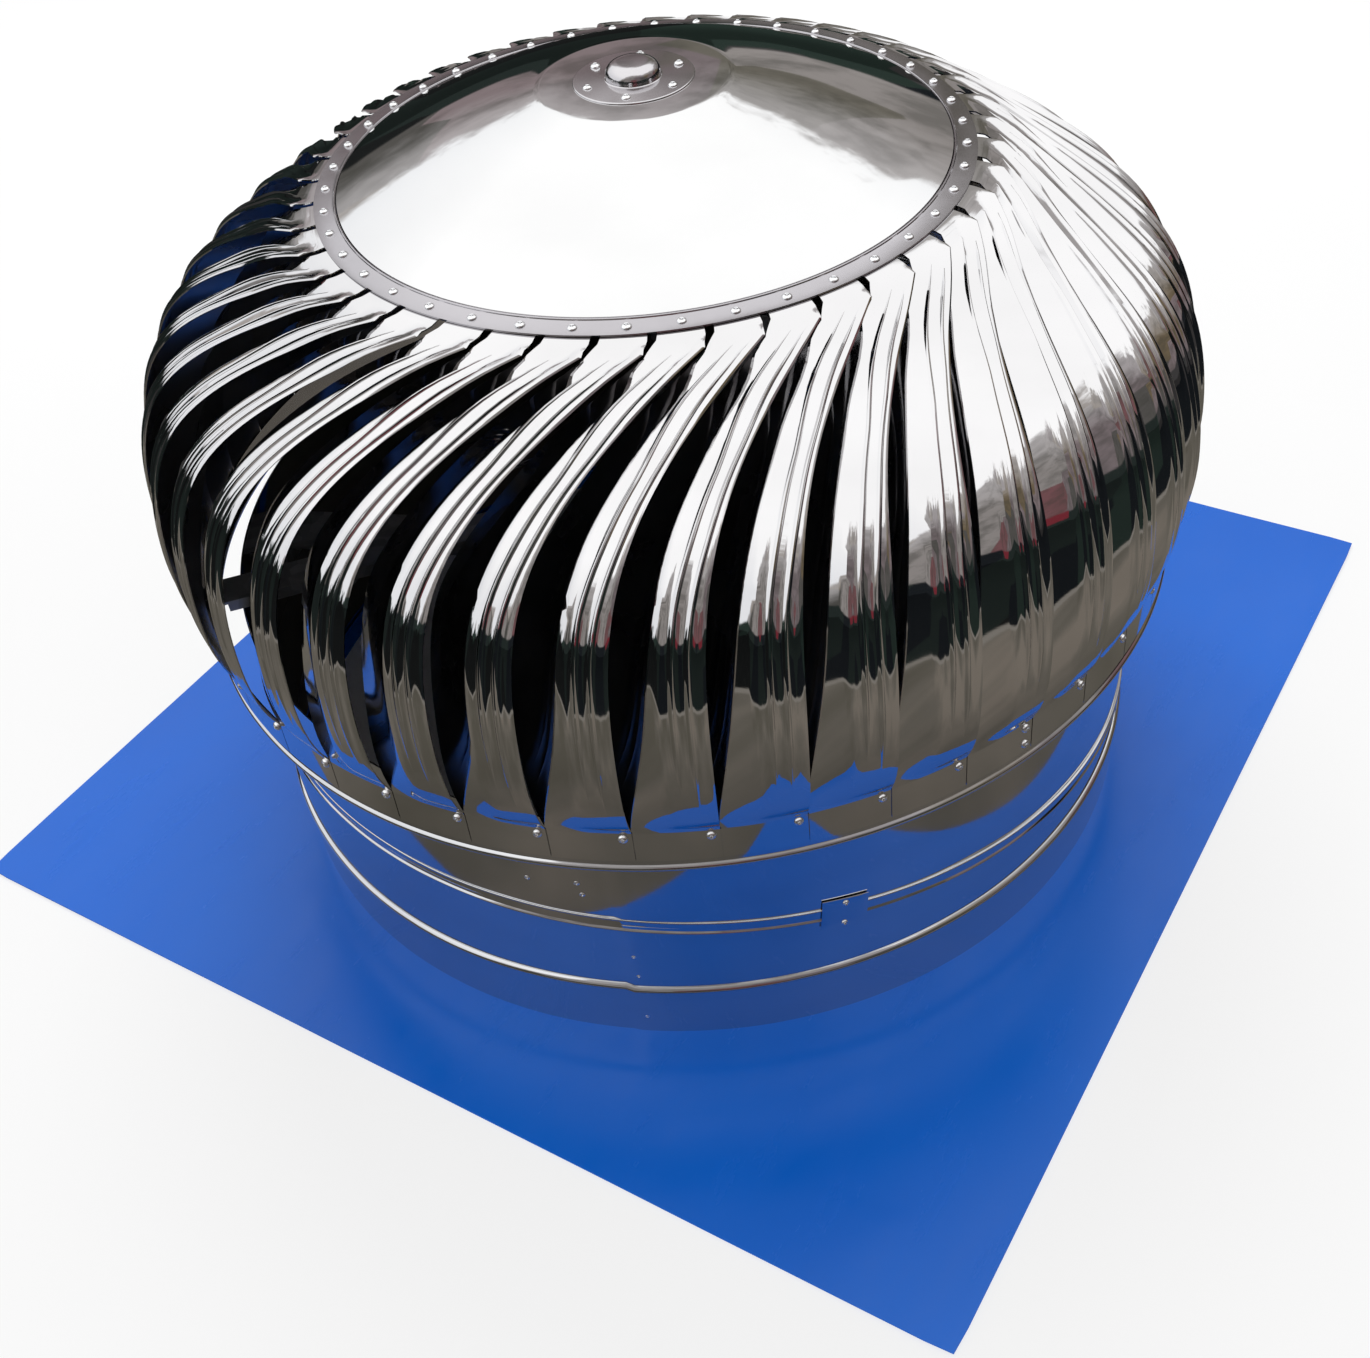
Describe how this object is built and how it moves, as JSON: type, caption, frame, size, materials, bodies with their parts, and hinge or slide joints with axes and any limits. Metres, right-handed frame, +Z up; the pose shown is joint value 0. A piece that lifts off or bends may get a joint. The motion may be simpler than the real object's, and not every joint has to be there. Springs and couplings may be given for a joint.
{
  "type": "roof turbine ventilator",
  "caption": "Wind-driven roof ventilator: a louvred mirror-steel rotor on a spindle above an angled swivel throat and a square painted base sheet.",
  "frame": {"origin": "centre of the base sheet, on its underside", "axes": "+Z up along the rotor axis, X and Y square to the edges of the base sheet"},
  "size_m": [0.756, 0.756, 0.4993],
  "materials": {
    "painted_sheet": "semi-gloss blue coil-coated steel sheet",
    "throat_sheet": "mirror-polished stainless sheet",
    "vane_sheet": "mirror-polished stainless sheet",
    "dome_sheet": "mirror-polished stainless sheet",
    "rim_sheet": "mirror-polished stainless sheet",
    "hub_sheet": "bright pressed stainless",
    "galvanised": "galvanised steel",
    "spindle_steel": "turned steel"
  },
  "bodies": {
    "base": {"base_flashing": "painted_sheet", "lower_throat": "throat_sheet", "swivel_band": "throat_sheet", "band_clip": "throat_sheet"},
    "head": {"upper_throat": "throat_sheet", "throat_bracket": "galvanised", "spindle": "spindle_steel", "spindle_nut_upper": "spindle_steel", "spindle_nut_lower": "spindle_steel"},
    "rotor": {"top_dome": "dome_sheet", "top_ring": "rim_sheet", "bearing_cap": "hub_sheet", "upper_housing": "galvanised", "upper_bearing": "spindle_steel", "lower_ring": "rim_sheet", "rotor_spider": "galvanised", "lower_bearing": "spindle_steel", "vane_01": "vane_sheet", "vane_02": "vane_sheet", "vane_03": "vane_sheet", "vane_04": "vane_sheet", "vane_05": "vane_sheet", "vane_06": "vane_sheet", "vane_07": "vane_sheet", "vane_08": "vane_sheet", "vane_09": "vane_sheet", "vane_10": "vane_sheet", "vane_11": "vane_sheet", "vane_12": "vane_sheet", "vane_13": "vane_sheet", "vane_14": "vane_sheet", "vane_15": "vane_sheet", "vane_16": "vane_sheet", "vane_17": "vane_sheet", "vane_18": "vane_sheet", "vane_19": "vane_sheet", "vane_20": "vane_sheet", "vane_21": "vane_sheet", "vane_22": "vane_sheet", "vane_23": "vane_sheet", "vane_24": "vane_sheet", "vane_25": "vane_sheet", "vane_26": "vane_sheet", "vane_27": "vane_sheet", "vane_28": "vane_sheet", "vane_29": "vane_sheet", "vane_30": "vane_sheet", "vane_31": "vane_sheet", "vane_32": "vane_sheet", "vane_33": "vane_sheet", "vane_34": "vane_sheet", "vane_35": "vane_sheet", "vane_36": "vane_sheet", "vane_37": "vane_sheet", "vane_38": "vane_sheet", "vane_39": "vane_sheet", "vane_40": "vane_sheet", "vane_41": "vane_sheet", "vane_42": "vane_sheet"}
  },
  "joints": [
    {"name": "pitch_swivel", "type": "hinge", "parent": "base", "child": "head", "pos_m": [0, 0, 0.086], "axis": [0.0359, 0.0889, 0.9954], "range_deg": [0, 180]},
    {"name": "rotor_spin", "type": "hinge", "parent": "head", "child": "rotor", "pos_m": [0, 0, 0.3], "axis": [0, 0, 1], "continuous": true}
  ]
}
